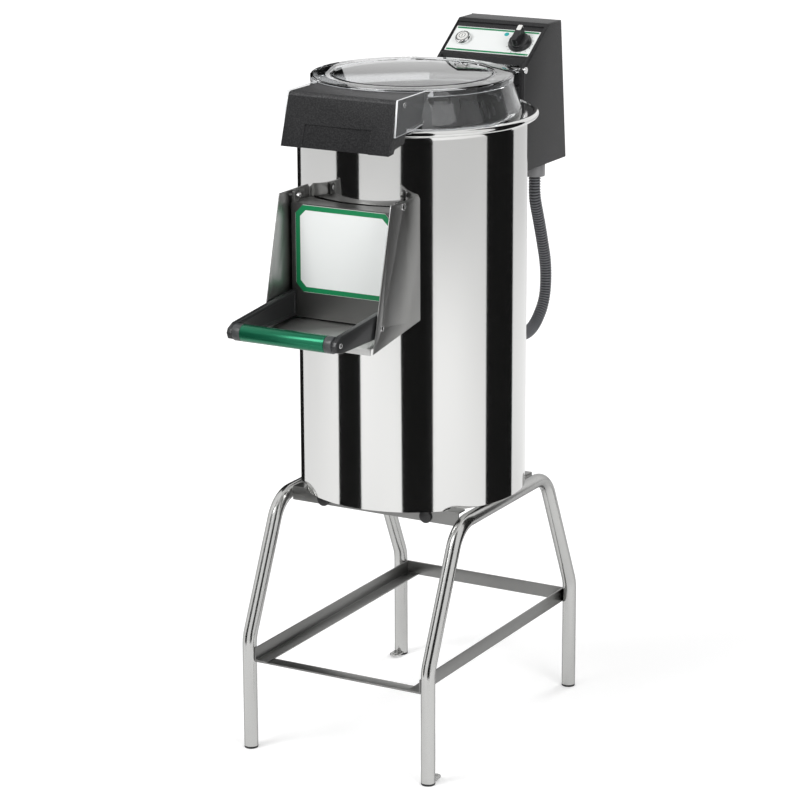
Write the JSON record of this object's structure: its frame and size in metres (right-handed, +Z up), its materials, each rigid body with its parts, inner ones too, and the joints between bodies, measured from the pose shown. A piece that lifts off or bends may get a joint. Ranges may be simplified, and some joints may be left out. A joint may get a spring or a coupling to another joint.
{
  "type": "electric potato peeler",
  "caption": "Drum potato peeler on a tube stand, with a clear lid, a chute door and a timer box",
  "frame": {"origin": "middle of the whole footprint, at the floor the stand feet rest on", "axes": "+Z up the drum axis, -Y out of the chute towards the user, +X to the user's right"},
  "size_m": [0.4389, 0.8616, 1.2299],
  "materials": {
    "stand_steel": "satin",
    "drum_steel": "polished",
    "bright_metal": "bright",
    "black_plastic": "matt",
    "abrasive": "gritty",
    "soft_rubber": "matt",
    "clear_plastic": "clear, smoke tinted",
    "charcoal_plastic": "fine texture",
    "white_plate": "printed, satin",
    "pale_button": "gloss",
    "green_aluminium": "anodised",
    "dark_ends": "satin",
    "grey_plastic": "matt",
    "cast_parts": "as cast",
    "motor_paint": "painted"
  },
  "bodies": {
    "stand": {"stand_tube_left": "stand_steel", "stand_tube_right": "stand_steel", "tube_end_plugs": "black_plastic", "floor_lugs": "stand_steel", "rail_front": "stand_steel", "rail_rear": "stand_steel", "shelf_angle_left": "stand_steel", "shelf_angle_right": "stand_steel", "shelf_strip_front": "stand_steel", "shelf_strip_rear": "stand_steel", "rail_caps": "black_plastic", "drum_shell": "drum_steel", "drum_rim": "drum_steel", "abrasive_liner": "abrasive", "drum_base_plate": "drum_steel", "chamber_floor": "drum_steel", "drain_pipe": "drum_steel", "water_inlet": "bright_metal", "bearing_housing": "cast_parts", "upper_bearing": "bright_metal", "lower_bearing": "bright_metal", "shaft_seal": "soft_rubber", "motor_body": "motor_paint", "motor_bracket": "motor_paint", "motor_bolts": "bright_metal", "drive_belt": "soft_rubber", "chute_side_left": "drum_steel", "chute_side_right": "drum_steel", "chute_floor": "drum_steel", "chute_screws": "bright_metal", "door_hinge_pins": "bright_metal", "box_housing": "charcoal_plastic", "box_rear_cover": "charcoal_plastic", "control_panel": "white_plate", "button_bezel": "bright_metal", "timer_body": "black_plastic", "contactor": "black_plastic", "box_bracket": "drum_steel", "lid_hinge_rod": "bright_metal", "cable_glands": "grey_plastic", "conduit": "grey_plastic"},
    "disc": {"abrasive_disc": "abrasive", "disc_cap": "grey_plastic", "drive_shaft": "bright_metal", "driven_pulley": "cast_parts"},
    "rotor": {"motor_shaft": "bright_metal", "motor_pulley": "cast_parts"},
    "lid": {"lid_shell": "clear_plastic", "lid_cover": "black_plastic", "lid_cover_screws": "bright_metal"},
    "door": {"door_shell": "drum_steel", "door_seal": "soft_rubber", "door_label": "white_plate", "handle_arm_left": "black_plastic", "handle_arm_right": "black_plastic", "handle_tube": "green_aluminium", "handle_end_caps": "dark_ends"},
    "start": {"button_cap": "pale_button"},
    "timer": {"timer_knob": "charcoal_plastic"}
  },
  "joints": [
    {"name": "disc_spin", "type": "hinge", "parent": "stand", "child": "disc", "pos_m": [0, 0.01475, 0.77], "axis": [0, 0, 1], "continuous": true},
    {"name": "motor_spin", "type": "hinge", "parent": "stand", "child": "rotor", "pos_m": [0.126, 0.01475, 0.5], "axis": [0, 0, 1], "continuous": true},
    {"name": "lid_hinge", "type": "hinge", "parent": "stand", "child": "lid", "pos_m": [0, 0.26175, 1.158], "axis": [-1, 0, 0], "range_deg": [0, 85]},
    {"name": "door_hinge", "type": "hinge", "parent": "stand", "child": "door", "pos_m": [0, -0.21175, 1], "axis": [-1, 0, 0], "range_deg": [0, 75]},
    {"name": "start_press", "type": "slide", "parent": "stand", "child": "start", "axis": [0, 0.5789, -0.8154], "range_m": [0, 0.003], "stiffness_N_per_m": 200},
    {"name": "timer_turn", "type": "hinge", "parent": "stand", "child": "timer", "pos_m": [0.057, 0.31072, 1.19774], "axis": [0, -0.5789, 0.8154], "range_deg": [0, 300]}
  ],
  "couplings": [
    {"joint": "motor_spin", "follows": "disc_spin", "ratio": 2.8333}
  ]
}
